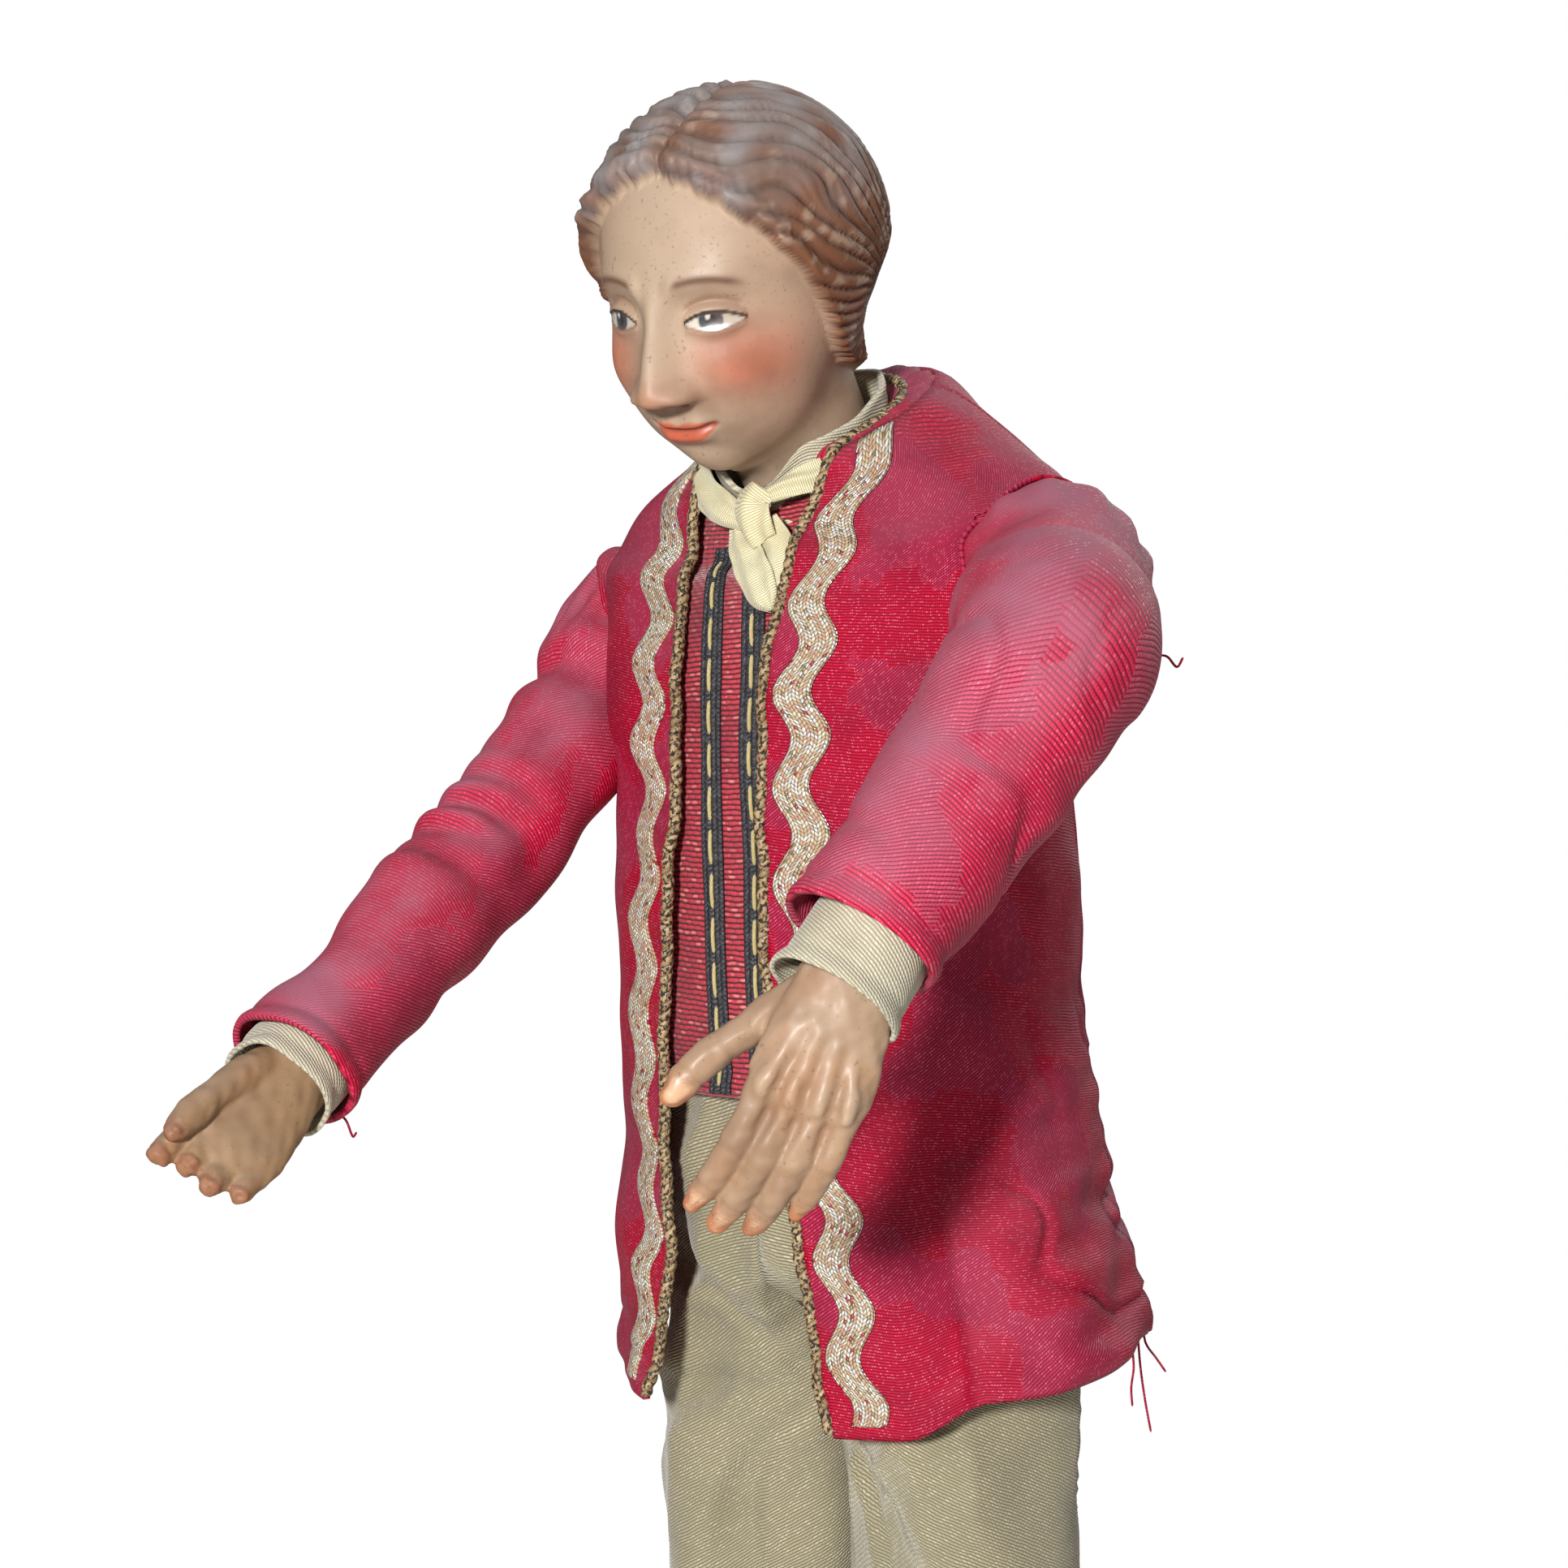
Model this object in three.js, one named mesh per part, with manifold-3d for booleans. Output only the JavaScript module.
// Jointed crib figure in dress, standing on a wooden plate.
// Millimetres, +Z up, the figure faces -Y and its left side is +X.
import * as THREE from 'three';
import { LoftGeometry } from 'three/addons/geometries/LoftGeometry.js';
import { mergeVertices } from 'three/addons/utils/BufferGeometryUtils.js';
import Module from 'manifold-3d';

const wasm = await Module();
wasm.setup();

// Clearances
const gap = 0.35;
const pinGap = 0.3;

// Stand and feet
const baseLength = 92;
const baseWidth = 80;
const baseThickness = 9;
const baseCorner = 12;
const baseBevel = 1.2;
const pegDiameter = 5;
const pegDepthInBase = 6.5;
const pegDepthInLeg = 12;
const shoeLength = 40;
const shoeWidth = 17;
const shoeHeight = 15;
const heelBehindPeg = 11;

// Legs and hips
const insideLeg = 149;
const legSpacing = 33;
const ankleDiameter = 12;
const thighDiameter = 18;
const hipDowelDiameter = 6;
const hipDowelDepth = 11;
const pelvisWidth = 52;
const pelvisDepth = 26;
const pelvisHeight = 22;
const waistDowelDiameter = 11;
const waistDowelDepth = 12;

// Torso
const torsoLength = 102;
const chestBlockWidth = 54;
const chestBlockDepth = 27;
const chestBlockHeight = 65;
const chestAboveShoulder = 4.4;
const pelvisAboveCrotch = 3;
const shoulderSpan = 76;
const shoulderDrop = 7;

// Neck and head
const neckLean = 24;
const neckRise = 15;
const neckForward = 4;
const neckDiameter = 20;
const journalDiameter = 8;
const journalLength = 15;
const tongueThickness = 3.4;
const tongueWidth = 6;
const nodPinDiameter = 2;
const nodClearance = 1.9;
const headHeight = 50;
const headWidth = 38;
const headDepth = 43;
const headAbovePivot = 25;
const headForward = 3;
const headPitch = -9;
const headRoll = 5;
const headTurn = 4;
const hairThickness = 1.8;

// Arms
const upperArmLength = 47;
const forearmLength = 46;
const armDiameter = 9;
const wristDiameter = { left: 13.6, right: 12.4 };
const forkThickness = 2.2;
const jointTongue = 3.6;
const jointRadius = 4.4;
const armPinDiameter = 2.2;
const hubDiameter = 8;
const hubDepth = 13;
const hubFlangeDiameter = 11;
const hubFlangeThickness = 2;
const handPegDiameter = 4;
const handPegDepth = 9;
const handLength = 38;
const palmWidth = 15.5;
const palmThickness = 6.4;
const handWristDiameter = 9.6;
const fingerDiameter = 4.1;
const thumbDiameter = 5.4;

// Arm pose in degrees: forward swing, sideways lift, set of the elbow axis, bend, then the hand's turns
const armPose = {
  left: { side: 1, swing: 75, lift: 35, set: -131, bend: 52.6, turn: -10, flex: -14, deviation: 13 },
  right: { side: -1, swing: 50, lift: -6, set: 0, bend: 10, turn: 50, flex: 0, deviation: 0 },
};

// Dress
const shoulderTilt = 4.6;
const coatThickness = 1.1;
const coatEase = 1.6;
const vestThickness = 0.9;
const hemHeightOnLeg = 12;
const coatHemWidth = 85;
const coatHemDepth = 60;
const coatHemBack = 3;
const coatHipWidth = 75;
const coatHipDepth = 55;
const coatWaistWidth = 70;
const coatWaistDepth = 53;
const coatChestWidth = 68;
const coatChestDepth = 52;
const coatShoulderWidth = 74;
const coatShoulderDepth = 42;
const coatNeckWidth = 32;
const coatNeckDepth = 32;
const shoulderRound = 5;
const shoulderSlope = 14;
const skirtFoldDepth = 1.7;
const skirtBulge = 2.6;
const foldsEndAboveCrotch = 50;
const backHemRise = 9;
const vestHemAboveCrotch = 32;
const armholeRadius = 12.5;
const armholeDownArm = 3.5;
const sleeveDiameter = {
  left: { top: 25.5, elbow: 24, end: 19 },
  right: { top: 21.4, elbow: 18.6, end: 17.4 },
};
const sleeveThickness = 0.8;
const sleeveEndBeforeWrist = { left: 2.5, right: -1 };
const cuffLength = 13;
const cuffThickness = 0.7;
const cuffPastWrist = { left: 1.6, right: 4.5 };
const trouserThickness = 1.1;
const trouserHipWidth = 61;
const trouserHipDepth = 41;
const trouserThighWidth = 32.4;
const trouserKneeWidth = 28;
const trouserHemWidth = 27;
const trouserRise = 38;
const trouserHemAboveSole = 13;
const trouserFold = 0.8;
const trouserLegIntoSeat = 12;
const waveBraidWidth = 6;
const waveBraidThickness = 0.7;
const waveLength = 12.5;
const waveHeight = 1.3;
const waveBraidFromEdge = 5.4;
const edgeCordDiameter = 1.9;
const vestBraidWidth = 4.6;
const vestBraidThickness = 0.6;
const vestBraidSpacing = 7.4;
const collarHeight = 9;
const collarFrontDip = 4.5;
const collarThickness = 1;
const scarfThickness = 2;
const scarfTailWidth = 6;
const scarfTailLength = 17;

// Heights that follow from the sizes above
const soleZ = baseThickness + gap;
const crotchZ = soleZ + insideLeg;
const shoulderZ = crotchZ + torsoLength;
const hemZ = crotchZ - hemHeightOnLeg;
const vestHemZ = crotchZ + vestHemAboveCrotch;
const neckZ = shoulderZ + neckRise;
const pelvisZ = crotchZ + pelvisAboveCrotch;
const chestBlockZ = shoulderZ + chestAboveShoulder - chestBlockHeight;
const trouserHemZ = soleZ + trouserHemAboveSole;
const trouserTopZ = crotchZ + trouserRise;

// Cheeks of the arm joints
const cheekInner = jointTongue / 2 + pinGap;
const cheekOuter = cheekInner + forkThickness;

// Radii that follow from the neck outwards
const collarRadius = neckDiameter / 2 + gap + 0.4;
const scarfInner = collarRadius + collarThickness + gap;
const neckClear = scarfInner + scarfThickness + gap;

// Colours and finishes
const finish = (color, roughness) => new THREE.MeshStandardMaterial({ color, roughness, metalness: 0 });
const skinPaint = finish(0xcfa27c, 0.45);
const bareWood = finish(0xb98f5e, 0.7);
const standWood = finish(0x6d4a2c, 0.6);
const crimsonSilk = finish(0xa8183a, 0.5);
const ribbedRed = finish(0x8f2330, 0.6);
const blackBraid = finish(0x2a2b33, 0.7);
const gildedBraid = new THREE.MeshStandardMaterial({ color: 0xb79c6a, roughness: 0.45, metalness: 0.4 });
const gimpCord = finish(0x8f7748, 0.7);
const creamLinen = finish(0xe2d8b8, 0.8);
const yellowSilk = finish(0xeadb9c, 0.5);
const beigeWool = finish(0xb7a683, 0.9);
const wadding = finish(0xe4dccb, 0.95);
const shoeLeather = finish(0x33231a, 0.5);
const steelPin = new THREE.MeshStandardMaterial({ color: 0x8d8f93, roughness: 0.35, metalness: 1 });

const figure = new THREE.Group();
const radians = THREE.MathUtils.degToRad;
const point = (x, y, z) => new THREE.Vector3(x, y, z);
// Eases from 0 at one place to 1 at the other, whichever of the two is higher
function smooth(none, full, x) {
  const u = THREE.MathUtils.clamp((x - none) / (full - none), 0, 1);
  return u * u * (3 - 2 * u);
}

// Solids
function solidOf(geometry) {
  const bare = new THREE.BufferGeometry();
  bare.setAttribute('position', geometry.getAttribute('position'));
  bare.setIndex(geometry.index);
  const merged = mergeVertices(bare, 1e-4);
  const triVerts = new Uint32Array(merged.index.array);
  const vertProperties = new Float32Array(merged.attributes.position.array);
  return new wasm.Manifold(new wasm.Mesh({ numProp: 3, vertProperties, triVerts }));
}

function geometryOf(solid) {
  const mesh = solid.getMesh();
  const geometry = new THREE.BufferGeometry();
  geometry.setAttribute('position', new THREE.Float32BufferAttribute(mesh.vertProperties, 3));
  geometry.setIndex(Array.from(mesh.triVerts));
  geometry.computeVertexNormals();
  return geometry;
}

function add(parent, name, shape, material) {
  const geometry = shape.isBufferGeometry ? shape : geometryOf(shape);
  const mesh = new THREE.Mesh(geometry, material);
  mesh.name = name;
  parent.add(mesh);
  return mesh;
}

function rod(from, to, radius, sides = 12, endRadius = radius) {
  const axis = to.clone().sub(from);
  const geometry = new THREE.CylinderGeometry(endRadius, radius, axis.length(), sides);
  const turn = new THREE.Quaternion().setFromUnitVectors(point(0, 1, 0), axis.clone().normalize());
  geometry.applyQuaternion(turn);
  const middle = from.clone().add(to).multiplyScalar(0.5);
  return geometry.translate(middle.x, middle.y, middle.z);
}

const rodSolid = (...sizes) => solidOf(rod(...sizes));

function block(width, depth, height, middle) {
  return solidOf(new THREE.BoxGeometry(width, depth, height).translate(middle.x, middle.y, middle.z));
}

function ball(radius, middle, sides = 16) {
  return solidOf(new THREE.SphereGeometry(radius, sides, sides / 2).translate(middle.x, middle.y, middle.z));
}

// Squared ellipse in a level plane, counterclockwise seen from above
function levelRing(z, halfWidth, halfDepth, centre, sides, power = 2) {
  const corner = (v) => Math.sign(v) * Math.abs(v) ** (2 / power);
  return Array.from({ length: sides }, (_, i) => {
    const t = (i / sides) * 2 * Math.PI;
    return point(centre.x + halfWidth * corner(Math.sin(t)), centre.y - halfDepth * corner(Math.cos(t)), z);
  });
}

// The ring turned a little about Y, so that one side stands higher
function tilted(ring, degrees) {
  const rise = Math.tan(radians(degrees));
  return ring.map((p) => point(p.x, p.y, p.z + rise * p.x));
}

function loft(rings) {
  return new THREE.BufferGeometry().copy(new LoftGeometry(rings, { capStart: true, capEnd: true }));
}

// Wall between two lofts that share their end rims
function wall(outer, inner) {
  return new THREE.BufferGeometry().copy(new LoftGeometry([...outer, ...inner.slice().reverse(), outer[0]]));
}

// Round tube along a path, thinner or thicker from ring to ring, with closed ends
function taperedTube(path, radii, sides) {
  const curve = new THREE.CatmullRomCurve3(path);
  const frames = curve.computeFrenetFrames(radii.length - 1, false);
  const rings = radii.map((radius, i) => {
    const middle = curve.getPointAt(i / (radii.length - 1));
    return Array.from({ length: sides }, (_, k) => {
      const t = (k / sides) * 2 * Math.PI;
      return middle.clone()
        .addScaledVector(frames.normals[i], radius * Math.cos(t))
        .addScaledVector(frames.binormals[i], radius * Math.sin(t));
    });
  });
  return loft(rings);
}

// Smooth value through stations of [place, value, value, ...]
function through(stations, place) {
  const last = stations.length - 1;
  let i = stations.findIndex((station) => station[0] > place) - 1;
  if (i === -2) i = last - 1;
  i = THREE.MathUtils.clamp(i, 0, last - 1);
  const [a, b] = [stations[i], stations[i + 1]];
  const slope = (k, j) => {
    const [p, q] = [stations[Math.max(k - 1, 0)], stations[Math.min(k + 1, last)]];
    return (q[j] - p[j]) / (q[0] - p[0]);
  };
  const span = b[0] - a[0];
  const u = THREE.MathUtils.clamp((place - a[0]) / span, 0, 1);
  return a.slice(1).map((start, n) => {
    const j = n + 1;
    const [square, cube] = [u ** 2, u ** 3];
    const ends = start + (3 * square - 2 * cube) * (b[j] - start);
    return ends + span * ((cube - 2 * square + u) * slope(i, j) + (cube - square) * slope(i + 1, j));
  });
}

// Stand: plate with two blind holes for the foot pegs
const pegX = legSpacing / 2;
function standPlate() {
  const [x, y] = [baseLength / 2 - baseBevel, baseWidth / 2 - baseBevel];
  const outline = new THREE.Shape();
  outline.absarc(x - baseCorner, y - baseCorner, baseCorner, 0, Math.PI / 2);
  outline.absarc(-x + baseCorner, y - baseCorner, baseCorner, Math.PI / 2, Math.PI);
  outline.absarc(-x + baseCorner, -y + baseCorner, baseCorner, Math.PI, 1.5 * Math.PI);
  outline.absarc(x - baseCorner, -y + baseCorner, baseCorner, 1.5 * Math.PI, 2 * Math.PI);
  const depth = baseThickness - 2 * baseBevel;
  const bevel = { bevelSize: baseBevel, bevelThickness: baseBevel, bevelSegments: 1, curveSegments: 4 };
  let plate = solidOf(new THREE.ExtrudeGeometry(outline, { depth, ...bevel }).translate(0, 0, baseBevel));
  for (const x of [-pegX, pegX]) {
    const hole = rodSolid(point(x, 0, baseThickness - pegDepthInBase - gap), point(x, 0, baseThickness + 1),
      pegDiameter / 2 + pinGap);
    plate = plate.subtract(hole);
  }
  return plate;
}
add(figure, 'base_plate', standPlate(), standWood);

// Shoe: rings from heel to toe, with the peg's hole through it
const shoeTop = soleZ + shoeHeight;
function shoe(x) {
  const stations = [
    [0, 0.3, 0.7], [0.06, 0.62, 0.95], [0.25, 0.74, 1], [0.42, 0.76, 0.92],
    [0.6, 0.95, 0.62], [0.8, 1, 0.5], [0.94, 0.72, 0.4], [1, 0.3, 0.25],
  ];
  const rings = stations.map(([along, wide, high]) => {
    const y = heelBehindPeg - along * shoeLength;
    const halfWidth = (wide * shoeWidth) / 2;
    const halfHeight = (high * shoeHeight) / 2;
    return Array.from({ length: 12 }, (_, i) => {
      const t = (i / 12) * 2 * Math.PI;
      const flat = Math.max(-Math.cos(t), -0.8) / (Math.cos(t) > 0 ? 0.8 : 1);
      return point(x + halfWidth * Math.sin(t), y, soleZ + halfHeight * (1 + flat));
    });
  });
  const hole = rodSolid(point(x, 0, soleZ - 1), point(x, 0, shoeTop + 1), pegDiameter / 2 + pinGap);
  return solidOf(loft(rings)).subtract(hole);
}

// Leg: tapered peg of wood from shoe to hip, bored at both ends
const legTopZ = pelvisZ - gap;
function leg(x) {
  const bottom = shoeTop + gap;
  const profile = [[ankleDiameter / 2, 0], [ankleDiameter * 0.62, 0.45], [thighDiameter / 2, 0.85],
    [thighDiameter * 0.42, 1]];
  const height = legTopZ - bottom;
  const outline = profile.map(([radius, along]) => new THREE.Vector2(radius, along * height));
  outline.unshift(new THREE.Vector2(0, 0));
  outline.push(new THREE.Vector2(0, height));
  const turned = new THREE.LatheGeometry(outline, 16).rotateX(Math.PI / 2).translate(x, 0, bottom);
  const pegHole = rodSolid(point(x, 0, bottom - 1), point(x, 0, bottom + pegDepthInLeg + gap),
    pegDiameter / 2 + pinGap);
  const hipHole = rodSolid(point(x, 0, legTopZ - hipDowelDepth - gap), point(x, 0, legTopZ + 1),
    hipDowelDiameter / 2 + pinGap);
  return solidOf(turned).subtract(pegHole).subtract(hipHole);
}

for (const [name, side] of [['left', 1], ['right', -1]]) {
  const x = side * pegX;
  const pegFoot = point(x, 0, baseThickness - pegDepthInBase);
  const pegHead = point(x, 0, shoeTop + gap + pegDepthInLeg);
  add(figure, `${name}_foot_peg`, rod(pegFoot, pegHead, pegDiameter / 2), bareWood);
  add(figure, `${name}_shoe`, shoe(x), shoeLeather);
  add(figure, `${name}_leg`, leg(x), bareWood);
  const dowelFoot = point(x, 0, legTopZ - hipDowelDepth);
  const dowelHead = point(x, 0, pelvisZ + hipDowelDepth);
  add(figure, `${name}_hip_dowel`, rod(dowelFoot, dowelHead, hipDowelDiameter / 2), bareWood);
}

// Pelvis block and waist dowel
const pelvisTop = pelvisZ + pelvisHeight;
function pelvisBlock() {
  const middle = point(0, 0, 0);
  const rings = [[0, 0.86], [0.2, 1], [0.75, 1], [1, 0.86]].map(([along, size]) => levelRing(
    pelvisZ + along * pelvisHeight, (size * pelvisWidth) / 2, (size * pelvisDepth) / 2, middle, 20, 3.5));
  let body = solidOf(loft(rings));
  for (const x of [-pegX, pegX]) {
    body = body.subtract(rodSolid(point(x, 0, pelvisZ - 1), point(x, 0, pelvisZ + hipDowelDepth + gap),
      hipDowelDiameter / 2 + pinGap));
  }
  return body.subtract(rodSolid(point(0, 0, pelvisTop - waistDowelDepth - gap), point(0, 0, pelvisTop + 1),
    waistDowelDiameter / 2 + pinGap));
}
add(figure, 'pelvis_block', pelvisBlock(), bareWood);
const waistFoot = point(0, 0, pelvisTop - waistDowelDepth);
const waistHead = point(0, 0, chestBlockZ + waistDowelDepth);
add(figure, 'waist_dowel', rod(waistFoot, waistHead, waistDowelDiameter / 2), bareWood);

// Frame of the neck: its origin is the nod pivot, its Z axis runs up the leaning neck
const neckFrame = new THREE.Group();
neckFrame.name = 'neck_frame';
neckFrame.position.set(0, -neckForward, neckZ);
neckFrame.rotation.x = radians(neckLean);
figure.add(neckFrame);
figure.updateMatrixWorld(true);
const inNeck = (x, y, z) => point(x, y, z).applyMatrix4(neckFrame.matrixWorld);
const seatBelowPivot = 12;
const journalEnd = -seatBelowPivot - journalLength;

// Shoulder pivots stand just outside the coat
const shoulderX = shoulderSpan / 2;
const pivotOf = {
  left: point(shoulderX, 0, shoulderZ),
  right: point(-shoulderX, 0, shoulderZ - shoulderDrop),
};

// Chest block with the neck bore and its seat, two shoulder bores and the waist bore
const flangeX = chestBlockWidth / 2 + gap;
function chestBlock() {
  const stations = [[0, 0.74, 0.9], [0.12, 0.8, 1], [0.75, 0.97, 1], [0.93, 0.99, 0.9], [1, 0.74, 0.68]];
  const rings = stations.map(([along, wide, deep]) => {
    const [halfWidth, halfDepth] = [(wide * chestBlockWidth) / 2, (deep * chestBlockDepth) / 2];
    const z = chestBlockZ + along * chestBlockHeight;
    return tilted(levelRing(z, halfWidth, halfDepth, point(0, 0, 0), 20, 4), shoulderTilt * along);
  });
  let body = solidOf(loft(rings));
  const seat = rodSolid(inNeck(0, 0, -seatBelowPivot), inNeck(0, 0, headHeight), neckClear, 20);
  const neckBore = rodSolid(inNeck(0, 0, journalEnd - gap), inNeck(0, 0, 0), journalDiameter / 2 + pinGap);
  const waistBore = rodSolid(point(0, 0, chestBlockZ - 1), point(0, 0, chestBlockZ + waistDowelDepth + gap),
    waistDowelDiameter / 2 + pinGap);
  body = body.subtract(seat).subtract(neckBore).subtract(waistBore);
  for (const pivot of Object.values(pivotOf)) {
    const side = Math.sign(pivot.x);
    const inner = side * (chestBlockWidth / 2 - hubDepth - gap);
    body = body.subtract(rodSolid(point(inner, 0, pivot.z), point(side * chestBlockWidth, 0, pivot.z),
      hubDiameter / 2 + pinGap));
    body = body.subtract(block(chestBlockWidth, hubFlangeDiameter + 2, hubFlangeDiameter + 2,
      point(side * chestBlockWidth, 0, pivot.z)));
  }
  return body;
}
add(figure, 'chest_block', chestBlock(), bareWood);

// Coat surface: stations of level, half width, half depth, centre and forward tilt of the ring
const coatTopZ = shoulderZ + shoulderRound + shoulderSlope;
const coatStations = [
  [hemZ, coatHemWidth / 2, coatHemDepth / 2, coatHemBack, 0],
  [crotchZ + 14, coatHipWidth / 2, coatHipDepth / 2, coatHemBack / 2, 0],
  [crotchZ + 42, coatWaistWidth / 2, coatWaistDepth / 2, 0, 0],
  [crotchZ + 68, coatChestWidth / 2, coatChestDepth / 2, 0, 0],
  [shoulderZ - 12, coatChestWidth / 2 + 0.4, coatChestDepth / 2 - 1.5, 0, 0.04],
  [shoulderZ + 3, coatShoulderWidth / 2, coatShoulderDepth / 2, 0.5, 0.14],
  [shoulderZ + 8, coatShoulderWidth / 2 - 3.5, coatShoulderDepth / 2 - 2.5, 0.5, 0.25],
  [coatTopZ - 4, coatNeckWidth / 2 + 8, coatNeckDepth / 2 + 0.5, 0, 0.38],
  [coatTopZ, coatNeckWidth / 2, coatNeckDepth / 2, -1.5, 0.45],
];
const slopeStart = shoulderZ - 2;

function coatFold(z, t) {
  const hang = smooth(crotchZ + foldsEndAboveCrotch, hemZ, z);
  const ripples = skirtFoldDepth * Math.cos(5 * t + 0.7) * (0.6 + 0.4 * Math.cos(t - 1));
  const bulge = skirtBulge * Math.exp(-(((t - 1.35) / 0.42) ** 2));
  return hang * (ripples + bulge);
}

// t runs from 0 at the front round by the left side; inset counts inwards from the coat's outer face
function coatPoint(z, t, inset = 0) {
  const [halfWidth, halfDepth, centre, tilt] = through(coatStations, z);
  const fold = coatFold(z, t) - inset;
  const y = centre - (halfDepth + fold) * Math.cos(t);
  const drop = inset * smooth(slopeStart, shoulderZ + 8, z);
  const x = (halfWidth + fold) * Math.sin(t);
  const sideTilt = Math.tan(radians(shoulderTilt)) * smooth(crotchZ + foldsEndAboveCrotch, shoulderZ, z);
  return point(x, y, z - drop + tilt * y + sideTilt * x);
}

function coatNormal(z, t) {
  const step = 0.01;
  const round = coatPoint(z, t + step).sub(coatPoint(z, t - step));
  const rise = coatPoint(z + step, t).sub(coatPoint(z - step, t));
  return round.cross(rise).normalize();
}

const onCoat = (z, t, out) => coatPoint(z, t).addScaledVector(coatNormal(z, t), out);
const perRadian = (z, t) => coatPoint(z, t + 0.01).distanceTo(coatPoint(z, t - 0.01)) / 0.02;

// Front edges of the coat: stations of level, right edge x and left edge x
const edgeStations = [
  [hemZ, -18, 15],
  [crotchZ + 10, -15, 11],
  [crotchZ + 40, -12.5, 8.5],
  [crotchZ + 70, -8.5, 8],
  [shoulderZ - 8, -8.5, 10],
  [shoulderZ + 8, -11.3, 13],
  [coatTopZ - 4, -12.6, 14.4],
  [coatTopZ, -14.6, 15.6],
];
function edgeAngle(z, side) {
  const [halfWidth] = through(coatStations, z);
  const x = through(edgeStations, z)[side < 0 ? 0 : 1];
  return Math.asin(THREE.MathUtils.clamp(x / halfWidth, -0.98, 0.98));
}

// The left front swings a little higher at its corner than the back
const hemRise = (t) => (backHemRise * (1 - Math.cos(t - 0.25))) / 2;

const risen = (z, t) => z + hemRise(t) * (1 - smooth(hemZ, crotchZ + 40, z));

function coatBody() {
  const [rows, columns] = [16, 25];
  const sections = Array.from({ length: rows }, (_, row) => {
    const z = hemZ + (coatTopZ - hemZ) * (row / (rows - 1)) ** 0.9;
    const [start, end] = [edgeAngle(z, 1), 2 * Math.PI + edgeAngle(z, -1)];
    const strip = (inset) => Array.from({ length: columns }, (_, k) => {
      const t = start + ((end - start) * k) / (columns - 1);
      return coatPoint(risen(z, t), t, inset);
    });
    return [...strip(0), ...strip(coatThickness).reverse()];
  });
  return solidOf(loft(sections));
}

// Closed solid of the torso at an inset from the coat's outer face
function torsoSolid(bottom, top, inset, rows, columns) {
  const rings = Array.from({ length: rows }, (_, row) => {
    const z = bottom + (top - bottom) * (row / (rows - 1));
    return Array.from({ length: columns }, (_, k) => coatPoint(z, (k / columns) * 2 * Math.PI, inset));
  });
  return solidOf(loft(rings));
}

// The armhole's middle lies a little way down the posed arm
function armDirection(name) {
  const { side, swing, lift } = armPose[name];
  const [forward, out] = [radians(swing), radians(lift)];
  return point(side * Math.sin(out), -Math.cos(out) * Math.sin(forward), -Math.cos(out) * Math.cos(forward));
}

function cutArmholes(solid, radius, downArm) {
  return ['left', 'right'].reduce((body, name) => {
    const middle = pivotOf[name].clone().addScaledVector(armDirection(name), downArm);
    return body.subtract(ball(radius, middle, 12));
  }, solid);
}

// Room for the shoulder hubs on their way out of the chest block
const hubChannel = Math.max(hubFlangeDiameter / 2, Math.hypot(cheekOuter, jointRadius)) + 2 * gap;
function cutHubs(solid) {
  return Object.values(pivotOf).reduce((body, pivot) => {
    const [inner, outer] = [Math.sign(pivot.x) * (flangeX - 1), pivot.x];
    return body.subtract(rodSolid(point(inner, 0, pivot.z), point(outer, 0, pivot.z), hubChannel));
  }, solid);
}

add(figure, 'coat_body', cutHubs(cutArmholes(coatBody(), armholeRadius, armholeDownArm)), crimsonSilk);

// Vest and padding follow the same torso, each one layer further in
const vestInset = coatThickness + coatEase;
const vestTopZ = coatTopZ - 1.5;
function vestBody() {
  const [rows, columns] = [9, 20];
  const outer = torsoSolid(vestHemZ, vestTopZ, vestInset, rows, columns);
  const inner = torsoSolid(vestHemZ - 1, vestTopZ + 1, vestInset + vestThickness, rows, columns);
  const neckHole = rodSolid(inNeck(0, 0, -neckRise), inNeck(0, 0, headHeight), neckClear, 20);
  return cutHubs(cutArmholes(outer.subtract(inner).subtract(neckHole), armholeRadius + 1.5, armholeDownArm));
}
add(figure, 'vest', vestBody(), ribbedRed);

const paddingInset = vestInset + vestThickness + 2 * gap;
function torsoPadding() {
  const body = torsoSolid(trouserTopZ + gap, shoulderZ - 3, paddingInset, 6, 20);
  const stations = [[-0.3, 0.74, 0.9], [0, 0.74, 0.9], [0.12, 0.8, 1], [0.75, 0.97, 1], [1.1, 1, 1]];
  const rings = stations.map(([along, wide, deep]) => levelRing(chestBlockZ + along * chestBlockHeight,
    (wide * chestBlockWidth) / 2 + gap, (deep * chestBlockDepth) / 2 + gap, point(0, 0, 0), 20, 4));
  return cutHubs(cutArmholes(body.subtract(solidOf(loft(rings))), armholeRadius + 2, 0));
}
add(figure, 'torso_padding', torsoPadding(), wadding);

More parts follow.
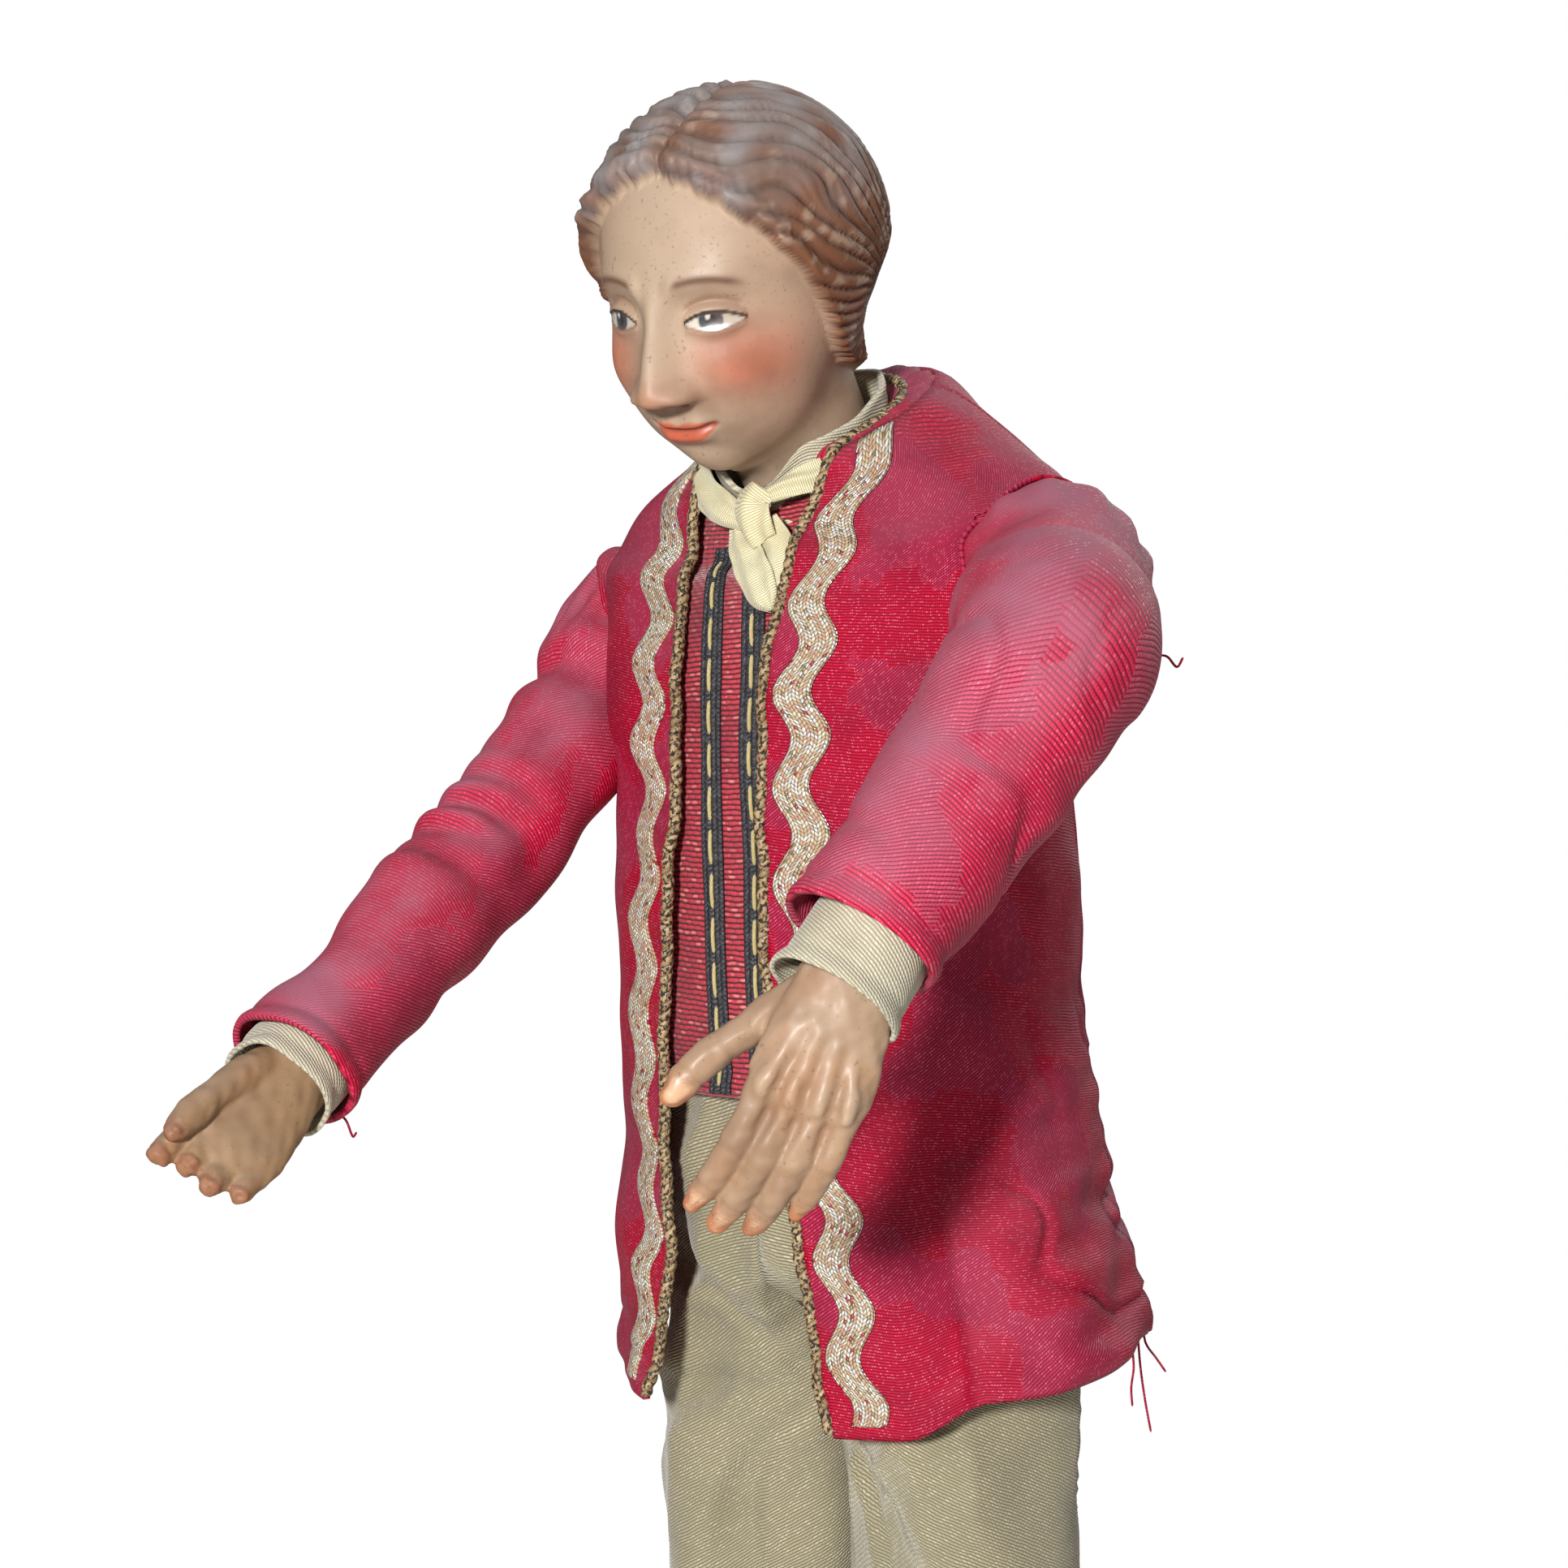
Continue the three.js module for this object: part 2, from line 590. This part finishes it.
// Trousers: two legs and a seat, hollow, open at the waist and the hems
const kneeZ = soleZ + insideLeg * 0.6;
const legStations = [
  [trouserHemZ, trouserHemWidth / 2, 0],
  [trouserHemZ + insideLeg * 0.25, trouserHemWidth / 2 + 0.8, 0],
  [kneeZ, trouserKneeWidth / 2, 0],
  [crotchZ - 15, trouserThighWidth / 2, 0],
  [crotchZ + trouserLegIntoSeat, trouserThighWidth / 2 - 0.6, 0],
];
function trouserLegRing(side, z, inset) {
  const [half] = through(legStations, z);
  const clearOfMiddle = gap / 2 + inset;
  const sides = 14;
  return Array.from({ length: sides }, (_, i) => {
    const t = (i / sides) * 2 * Math.PI;
    const fold = trouserFold * Math.cos(3 * t + side * z / 14 + 1.2);
    const radius = half + fold - inset;
    const out = Math.max(pegX + radius * side * Math.sin(t), clearOfMiddle);
    return point(side * out, -radius * 1.06 * Math.cos(t), z);
  });
}
function trouserForm(inset, reach) {
  const legRows = 8;
  const legs = [-1, 1].map((side) => solidOf(loft(Array.from({ length: legRows }, (_, i) => {
    const bottom = trouserHemZ - reach;
    const top = crotchZ + trouserLegIntoSeat;
    return trouserLegRing(side, bottom + ((top - bottom) * i) / (legRows - 1), inset);
  }))));
  const seatStations = [[-8 + inset, 0.6, 0.72], [2, 0.95, 0.93], [14, 1, 1], [28, 0.96, 0.97],
    [trouserRise + reach, 0.93, 0.93]];
  const seat = solidOf(loft(seatStations.map(([up, wide, deep]) => levelRing(crotchZ + up,
    (wide * trouserHipWidth) / 2 - inset, (deep * trouserHipDepth) / 2 - inset, point(0, 0, 0), 20, 2.3))));
  return legs[0].add(legs[1]).add(seat);
}
add(figure, 'trousers', trouserForm(0, 0).subtract(trouserForm(trouserThickness, 1)), beigeWool);

// Trim of the coat: a waved braid and an edge cord along each front
const trimLift = 0.6;
function waveBraid(side) {
  const [bottom, top] = [hemZ + 3, coatTopZ - 3];
  const rows = Math.round(((top - bottom) / waveLength) * 5) + 1;
  const sections = Array.from({ length: rows }, (_, row) => {
    const z = top + ((bottom - top) * row) / (rows - 1);
    const edge = edgeAngle(z, side);
    const scale = perRadian(z, edge);
    const wave = waveHeight * Math.sin(((top - z) / waveLength) * 2 * Math.PI);
    const middle = edge + (side * (waveBraidFromEdge + wave)) / scale;
    const angles = [-1, 1].map((part) => middle + (part * waveBraidWidth) / 2 / scale);
    const lifted = risen(z, middle);
    const outer = angles.map((t) => onCoat(lifted, t, trimLift + waveBraidThickness));
    const inner = angles.map((t) => onCoat(lifted, t, trimLift));
    return [...outer, ...inner.reverse()];
  });
  return loft(sections.reverse());
}

function edgeCord(side) {
  const radius = edgeCordDiameter / 2;
  const [bottom, top, steps] = [hemZ + 1, coatTopZ - 1, 24];
  const path = Array.from({ length: steps + 1 }, (_, i) => {
    const z = bottom + ((top - bottom) * i) / steps;
    const edge = edgeAngle(z, side);
    const t = edge - (side * (radius + trimLift)) / perRadian(z, edge);
    return onCoat(risen(z, edge), t, 0.2);
  });
  const section = new THREE.Shape();
  const sides = 6;
  for (let i = 0; i < sides; i += 1) {
    const t = (i / sides) * 2 * Math.PI;
    section[i ? 'lineTo' : 'moveTo'](radius * Math.cos(t), radius * Math.sin(t));
  }
  return new THREE.ExtrudeGeometry(section, {
    extrudePath: new THREE.CatmullRomCurve3(path), steps: 26, bevelEnabled: false,
  });
}

function vestBraid(side) {
  const rows = 9;
  const [bottom, top] = [vestHemZ + 0.5, shoulderZ - 4];
  const sections = Array.from({ length: rows }, (_, row) => {
    const z = bottom + ((top - bottom) * row) / (rows - 1);
    const scale = perRadian(z, 0);
    const middle = ((side * vestBraidSpacing) / 2) / scale;
    const angles = [-1, 0, 1].map((part) => middle + (part * vestBraidWidth) / 2 / scale);
    const inner = angles.map((t) => coatPoint(z, t, vestInset - gap));
    const outer = angles.map((t) => coatPoint(z, t, vestInset - gap - vestBraidThickness));
    return [...outer, ...inner.reverse()];
  });
  return loft(sections);
}

for (const [name, side] of [['left', 1], ['right', -1]]) {
  add(figure, `${name}_wave_braid`, waveBraid(side), gildedBraid);
  add(figure, `${name}_edge_cord`, edgeCord(side), gimpCord);
  add(figure, `${name}_vest_braid`, vestBraid(side), blackBraid);
}

// Shirt collar and neckerchief sit square to the neck
const neckRing = (z, radius, sides = 20) => levelRing(z, radius, radius, point(0, 0, 0), sides);
const collarBottom = -6;
const collarTop = collarBottom + collarHeight;
function collarRings(radius) {
  const dipped = neckRing(collarTop, radius).map((p) => {
    const front = (1 - p.y / radius) / 2;
    return point(p.x, p.y, p.z - collarFrontDip * front);
  });
  return [neckRing(collarBottom, radius), dipped];
}
const collarWall = wall(collarRings(collarRadius + collarThickness), collarRings(collarRadius));
add(neckFrame, 'shirt_collar', collarWall, creamLinen);

const scarfZ = collarBottom + 2.6;
const scarfSection = [[0, -2.4], [0.75, -1.8], [1, 0], [0.75, 1.8], [0, 2.4]];
const scarfProfile = scarfSection.map(([out, up]) => new THREE.Vector2(
  scarfInner + out * scarfThickness, scarfZ + up));
scarfProfile.push(scarfProfile[0].clone());
const scarfBand = new THREE.LatheGeometry(scarfProfile, 24).rotateX(Math.PI / 2);
add(neckFrame, 'neckerchief_band', scarfBand, yellowSilk);

const knotHalf = point(4.2, 2.2, 3.2);
const knotMiddle = point(1, -(scarfInner + scarfThickness + 0.3 + knotHalf.y), scarfZ + 0.7);
const knotForm = new THREE.SphereGeometry(1, 12, 8).scale(...knotHalf.toArray())
  .translate(...knotMiddle.toArray());
add(neckFrame, 'neckerchief_knot', knotForm, yellowSilk);

// A tail of the neckerchief: a flat strip that hangs from the knot over the vest
const vestFrontY = -coatShoulderDepth / 2;
function scarfTail(start, lean, length, width) {
  const knot = knotMiddle.clone().applyMatrix4(neckFrame.matrixWorld);
  const rows = 6;
  const sections = Array.from({ length: rows }, (_, row) => {
    const along = row / (rows - 1);
    const z = knot.z - 4.4 - along * length;
    const middle = knot.x + start + lean * along;
    const half = (width * (0.55 + 0.45 * along)) / 2;
    const front = (x, out) => {
      const level = z - through(coatStations, z)[3] * vestFrontY;
      const t = Math.asin(x / through(coatStations, level)[0]);
      const skin = coatPoint(level, t, vestInset - 2 * gap - vestBraidThickness - out);
      return point(x, skin.y, z);
    };
    const xs = [middle - half, middle, middle + half];
    return [...xs.map((x) => front(x, 0.8)), ...xs.map((x) => front(x, 0)).reverse()];
  });
  return loft(sections.reverse());
}
add(figure, 'neckerchief_long_tail', scarfTail(1.3, 1.7, scarfTailLength, scarfTailWidth), yellowSilk);
const shortTail = scarfTail(-2.4, -2.2, scarfTailLength * 0.4, scarfTailWidth * 0.7);
add(figure, 'neckerchief_short_tail', shortTail, yellowSilk);

// Neck spindle: journal in the chest block, flange on its seat, tongue up into the neck
const tongueTop = nodPinDiameter / 2 + 2.6;
const flangeTop = -seatBelowPivot + gap + 1.6;
let spindle = rodSolid(point(0, 0, journalEnd), point(0, 0, -seatBelowPivot + 1), journalDiameter / 2)
  .add(rodSolid(point(0, 0, -seatBelowPivot + gap), point(0, 0, flangeTop), neckDiameter / 2 - 2))
  .add(block(tongueThickness, tongueWidth, tongueTop - flangeTop + 1,
    point(0, 0, (tongueTop + flangeTop - 1) / 2)));
const nodHole = rodSolid(point(-neckDiameter, 0, 0), point(neckDiameter, 0, 0), nodPinDiameter / 2 + pinGap);
spindle = spindle.subtract(nodHole);
add(neckFrame, 'neck_spindle', spindle, bareWood);

// Head: a rounded form over the skull, with the hair as a raised cap, and the neck below it
const skull = new THREE.Group();
skull.position.set(0, -headForward, headAbovePivot);
skull.rotation.set(radians(headPitch), radians(headRoll), radians(headTurn), 'YXZ');
neckFrame.add(skull);
skull.updateMatrix();

function bump(direction, x, y, z, width) {
  const away = direction.distanceTo(point(x, y, z).normalize());
  return Math.exp(-((away / width) ** 2));
}

// The hair line runs over the forehead, down past the temples and round the nape
function hairCover(d) {
  const front = smooth(0.62, 0.7, d.z + 0.12 * d.x) * (d.y < 0 ? 1 : 0);
  const side = smooth(-0.42, -0.3, d.y + 0.55 * Math.max(0, 0.2 - d.z)) * smooth(-0.62, -0.5, d.z);
  return Math.max(front, side);
}

function skullPoint(d) {
  const jaw = smooth(0, -0.9, d.z);
  const nape = smooth(0.1, 0.8, d.y) * smooth(-0.15, -0.8, d.z);
  const wide = (headWidth / 2) * (1 - 0.24 * jaw);
  const deep = (headDepth / 2) * (1 - 0.1 * jaw * (d.y < 0 ? 1 : 0) - 0.32 * nape);
  const form = point(d.x * wide, d.y * deep, (d.z * headHeight) / 2);
  let rise = hairThickness * hairCover(d);
  rise += 1.6 * bump(d, 0, -0.66, -0.8, 0.26);
  rise += 0.7 * (bump(d, 0.36, -0.9, 0.2, 0.2) + bump(d, -0.36, -0.9, 0.2, 0.2));
  rise -= 1.3 * (bump(d, 0.34, -0.93, 0.03, 0.17) + bump(d, -0.34, -0.93, 0.03, 0.17));
  rise += 0.9 * (bump(d, 0.5, -0.82, -0.25, 0.3) + bump(d, -0.5, -0.82, -0.25, 0.3));
  rise += 3.9 * bump(d, 0, -0.97, -0.22, 0.13) + 2 * bump(d, 0, -1, -0.04, 0.11);
  rise += 1 * bump(d, 0, -0.87, -0.47, 0.14);
  return form.addScaledVector(form.clone().normalize(), rise);
}

function headForm() {
  const [rows, columns] = [18, 30];
  const rings = [];
  for (let row = 1; row < rows; row += 1) {
    const polar = Math.PI * (1 - row / rows);
    rings.push(Array.from({ length: columns }, (_, k) => {
      const t = (k / columns) * 2 * Math.PI;
      const d = point(Math.sin(polar) * Math.sin(t), -Math.sin(polar) * Math.cos(t), Math.cos(polar));
      return skullPoint(d).applyMatrix4(skull.matrix);
    }));
  }
  const neckBottom = flangeTop + nodClearance;
  const neck = loft([
    neckRing(neckBottom, neckDiameter / 2 - 3), neckRing(neckBottom + 4, neckDiameter / 2 - 0.4),
    neckRing(collarTop, neckDiameter / 2), neckRing(headAbovePivot - 10, neckDiameter / 2 + 0.5),
  ]);
  const slotTop = tongueTop + 0.8;
  const slot = block(tongueThickness + 2 * pinGap, tongueWidth + 4.6, slotTop - neckBottom + 1,
    point(0, 0, (slotTop + neckBottom - 1) / 2));
  return solidOf(loft(rings)).add(solidOf(neck)).subtract(slot).subtract(nodHole);
}
add(neckFrame, 'head', headForm(), skinPaint);
const nodPinHalf = neckDiameter / 2 - 1.6;
const nodPin = rod(point(-nodPinHalf, 0, 0), point(nodPinHalf, 0, 0), nodPinDiameter / 2);
add(neckFrame, 'nod_pin', nodPin, steelPin);

// Hands: wrist at the origin, fingers along -Z, back of the hand +Y, thumb towards side * X
const fingerSides = 6;
const fingerSpread = [0.36, 0.12, -0.13, -0.37];
const wholeFingers = [0.43, 0.47, 0.44, 0.35];
const brokenFingers = [0.17, 0.13, 0.15, 0.1];
function hand(side, fingers, curl, spread) {
  const palmLength = handLength * 0.5;
  const wristRadius = handWristDiameter / 2;
  const stations = [[0.02, 0.62, 1.3], [0.2, 0.66, 1.15], [0.5, 0.86, 1.05], [0.85, 1, 0.85],
    [1, 0.96, 0.7]];
  const palm = stations.map(([along, wide, thick]) => levelRing(-along * palmLength, (wide * palmWidth) / 2,
    (thick * palmThickness) / 2, point(0, 0, 0), 12, 2.4));
  let form = solidOf(loft(palm.reverse())).add(ball(wristRadius, point(0, 0, -0.5), 10));
  fingers.forEach((length, i) => {
    const x = side * fingerSpread[i] * palmWidth;
    const reach = length * handLength;
    const fan = side * fingerSpread[i] * 0.5;
    const path = [0, 0.35, 0.7, 1].map((along) => point(x + fan * along * reach * 0.35,
      -curl * reach * along ** 2, -palmLength * 0.9 - reach * along * (1 - 0.12 * along)));
    const taper = length > 0.3 ? [1, 0.93, 0.9, 0.73, 0.34] : [1, 0.93, 0.83];
    const radii = taper.map((share) => (share * fingerDiameter) / 2);
    form = form.add(solidOf(taperedTube(path, radii, fingerSides)));
  });
  const thumbStations = [[0.16, 0, -0.19, -0.08], [0.26, 0.23, -0.44, -0.25], [0.3, 0.35, -0.53, -0.39],
    [0.3, 0.37, -0.56, -0.51]];
  const thumbPath = thumbStations.map(([out, spreads, under, down]) => point(
    side * (out + spreads * spread) * palmWidth, under * palmThickness, down * handLength));
  const thumbRadii = [0.96, 1, 0.85, 0.74, 0.33].map((share) => (share * thumbDiameter) / 2);
  return form.add(solidOf(taperedTube(thumbPath, thumbRadii, fingerSides)));
}

// Frames of one arm from the shoulder to the hand, each turned as posed
function armFrames(name) {
  const { side, swing, lift, set, bend } = armPose[name];
  const [hub, arm, fore, wrist] = ['hub', 'arm', 'fore', 'wrist'].map((part) => {
    const frame = new THREE.Group();
    frame.name = `${name}_${part}_frame`;
    return frame;
  });
  hub.position.copy(pivotOf[name]);
  hub.rotation.x = radians(-swing);
  arm.rotation.set(0, radians(-side * lift), radians(set), 'XYZ');
  fore.position.z = -upperArmLength;
  fore.rotation.x = radians(-bend);
  wrist.position.z = -forearmLength;
  figure.add(hub);
  hub.add(arm);
  arm.add(fore);
  fore.add(wrist);
  figure.updateMatrixWorld(true);
  return { hub, arm, fore, wrist };
}

const clearOfJoint = jointRadius + 0.8;

// Two cheeks with round ends about a pin along the given axis, joined by a bridge away from the tongue
function fork(axis, back, bridge) {
  const along = (distance) => axis.clone().multiplyScalar(distance);
  let cheeks = rodSolid(along(-cheekOuter), along(-cheekInner), jointRadius)
    .add(rodSolid(along(cheekInner), along(cheekOuter), jointRadius));
  const size = (unit) => Math.abs(axis[unit]) * 2 * cheekOuter + Math.abs(back[unit]) * bridge
    + (1 - Math.abs(axis[unit]) - Math.abs(back[unit])) * 2 * jointRadius;
  const arms = block(size('x'), size('y'), size('z'), back.clone().multiplyScalar(bridge / 2));
  cheeks = cheeks.add(arms);
  const slotSize = (unit) => 2 * THREE.MathUtils.lerp(clearOfJoint, cheekInner, Math.abs(axis[unit]));
  cheeks = cheeks.subtract(block(slotSize('x'), slotSize('y'), slotSize('z'), point(0, 0, 0)));
  const hole = rodSolid(along(-2 * cheekOuter), along(2 * cheekOuter), armPinDiameter / 2 + pinGap);
  return cheeks.subtract(hole);
}

function tongue(axis) {
  const along = (distance) => axis.clone().multiplyScalar(distance);
  const disc = rodSolid(along(-jointTongue / 2), along(jointTongue / 2), jointRadius - 0.4);
  const { lerp } = THREE.MathUtils;
  const neckSize = (unit) => lerp(jointRadius * 2 - 1.2, jointTongue, Math.abs(axis[unit]));
  const neck = block(neckSize('x'), neckSize('y'), clearOfJoint + 1, point(0, 0, -(clearOfJoint + 1) / 2));
  const hole = rodSolid(along(-2 * cheekOuter), along(2 * cheekOuter), armPinDiameter / 2 + pinGap);
  return disc.add(neck).subtract(hole);
}

function pinThrough(axis) {
  const half = axis.clone().multiplyScalar(cheekOuter + 0.2);
  return rod(half.clone().negate(), half, armPinDiameter / 2);
}

// Sleeve: a tube of cloth round the arm's path, cut where it meets the coat
function sleeve(name, frames) {
  const start = pivotOf[name];
  const elbow = frames.fore.getWorldPosition(point(0, 0, 0));
  const end = frames.fore.localToWorld(point(0, 0, -forearmLength + sleeveEndBeforeWrist[name]));
  const upper = elbow.clone().sub(start).normalize();
  const lower = end.clone().sub(elbow).normalize();
  const outward = upper.clone().sub(lower).multiplyScalar(1.2);
  const path = new THREE.CatmullRomCurve3([
    start.clone().addScaledVector(upper, -8), start.clone().addScaledVector(upper, 4),
    start.clone().lerp(elbow, 0.55), elbow.clone().add(outward), elbow.clone().lerp(end, 0.5),
    end.clone().addScaledVector(lower, -6), end,
  ]);
  const [rings, sides] = [12, 14];
  const frame = path.computeFrenetFrames(rings - 1, false);
  const across = sleeveDiameter[name];
  const sizes = [[0, across.top * 0.34], [0.12, across.top * 0.5], [0.3, across.top * 0.49],
    [0.55, across.elbow * 0.5], [0.75, across.elbow * 0.47], [1, across.end * 0.5]];
  const skin = (inset) => Array.from({ length: rings }, (_, i) => {
    const along = i / (rings - 1);
    const [radius] = through(sizes, along);
    const middle = path.getPointAt(along);
    return Array.from({ length: sides }, (_, k) => {
      const t = (k / sides) * 2 * Math.PI;
      const crease = 0.7 * Math.sin(along * 34 + 2 * t) * smooth(0.88, 0.7, along) * smooth(0.1, 0.3, along);
      const size = radius + crease - inset;
      return middle.clone().addScaledVector(frame.normals[i], size * Math.cos(t))
        .addScaledVector(frame.binormals[i], size * Math.sin(t));
    });
  });
  const tube = solidOf(wall(skin(0), skin(sleeveThickness)));
  const coatForm = torsoSolid(hemZ, coatTopZ, -gap - 0.15, 20, 36);
  return tube.subtract(coatForm);
}

for (const name of ['left', 'right']) {
  const frames = armFrames(name);
  const { side, turn, flex, deviation } = armPose[name];
  const { hub, arm, fore, wrist } = frames;

  // Shoulder hub: journal and flange at the chest block, fork at the pivot
  const inward = (x) => point(-side * (shoulderX - x), 0, 0);
  const flange = rodSolid(inward(flangeX), inward(flangeX + hubFlangeThickness), hubFlangeDiameter / 2);
  const journal = rodSolid(inward(chestBlockWidth / 2 - hubDepth), inward(flangeX + 1), hubDiameter / 2);
  const bridge = shoulderX - flangeX - hubFlangeThickness / 2;
  const shoulderFork = fork(point(0, 1, 0), point(-side, 0, 0), bridge);
  add(hub, `${name}_shoulder_hub`, journal.add(flange).add(shoulderFork), bareWood);
  const unset = radians(-armPose[name].set);
  add(arm, `${name}_shoulder_pin`, pinThrough(point(0, 1, 0)).rotateZ(unset), steelPin);

  // Upper arm: tongue above, shaft, fork below
  const shaft = rodSolid(point(0, 0, -clearOfJoint), point(0, 0, -upperArmLength + clearOfJoint),
    armDiameter / 2);
  const elbowFork = geometryOf(fork(point(1, 0, 0), point(0, 0, 1), clearOfJoint + 1));
  elbowFork.translate(0, 0, -upperArmLength);
  const shoulderTongue = geometryOf(tongue(point(0, 1, 0))).rotateZ(unset);
  add(arm, `${name}_upper_arm`, shaft.add(solidOf(elbowFork)).add(solidOf(shoulderTongue)), bareWood);

  // Forearm: tongue above, shaft swelling to the wrist, bored for the hand's peg
  add(fore, `${name}_elbow_pin`, pinThrough(point(1, 0, 0)), steelPin);
  const past = cuffPastWrist[name];
  const cuffTop = -forearmLength + cuffLength - past;
  const woodEnd = handWristDiameter / 2 + 1;
  const wristRadius = wristDiameter[name] / 2;
  const lower = rodSolid(point(0, 0, -clearOfJoint), point(0, 0, cuffTop + 4), armDiameter / 2)
    .add(rodSolid(point(0, 0, cuffTop + 4.5), point(0, 0, cuffTop), armDiameter / 2, 12, wristRadius))
    .add(rodSolid(point(0, 0, cuffTop + 0.5), point(0, 0, -forearmLength + woodEnd), wristRadius));
  const pegTop = woodEnd + handPegDepth;
  const pegBore = rodSolid(point(0, 0, -forearmLength), point(0, 0, -forearmLength + pegTop + gap),
    handPegDiameter / 2 + pinGap);
  add(fore, `${name}_forearm`, tongue(point(1, 0, 0)).add(lower).subtract(pegBore), bareWood);

  // Shirt cuff round the wrist end of the forearm
  const cuffInner = wristRadius + gap;
  const cuffRings = (radius) => [-past, cuffLength - past].map((z) => neckRing(-forearmLength + z, radius));
  add(fore, `${name}_cuff`, wall(cuffRings(cuffInner + cuffThickness), cuffRings(cuffInner)), creamLinen);

  // Hand with its turning peg
  const form = name === 'left' ? hand(side, wholeFingers, 0.22, 1) : hand(side, brokenFingers, 0.1, 0.3);
  const turns = new THREE.Euler(radians(flex), radians(deviation), radians(turn), 'ZXY');
  const held = geometryOf(form).applyQuaternion(new THREE.Quaternion().setFromEuler(turns));
  const peg = rodSolid(point(0, 0, 0), point(0, 0, pegTop), handPegDiameter / 2);
  add(wrist, `${name}_hand`, solidOf(held).add(peg), skinPaint);
  add(figure, `${name}_sleeve`, sleeve(name, frames), crimsonSilk);
}

export default figure;
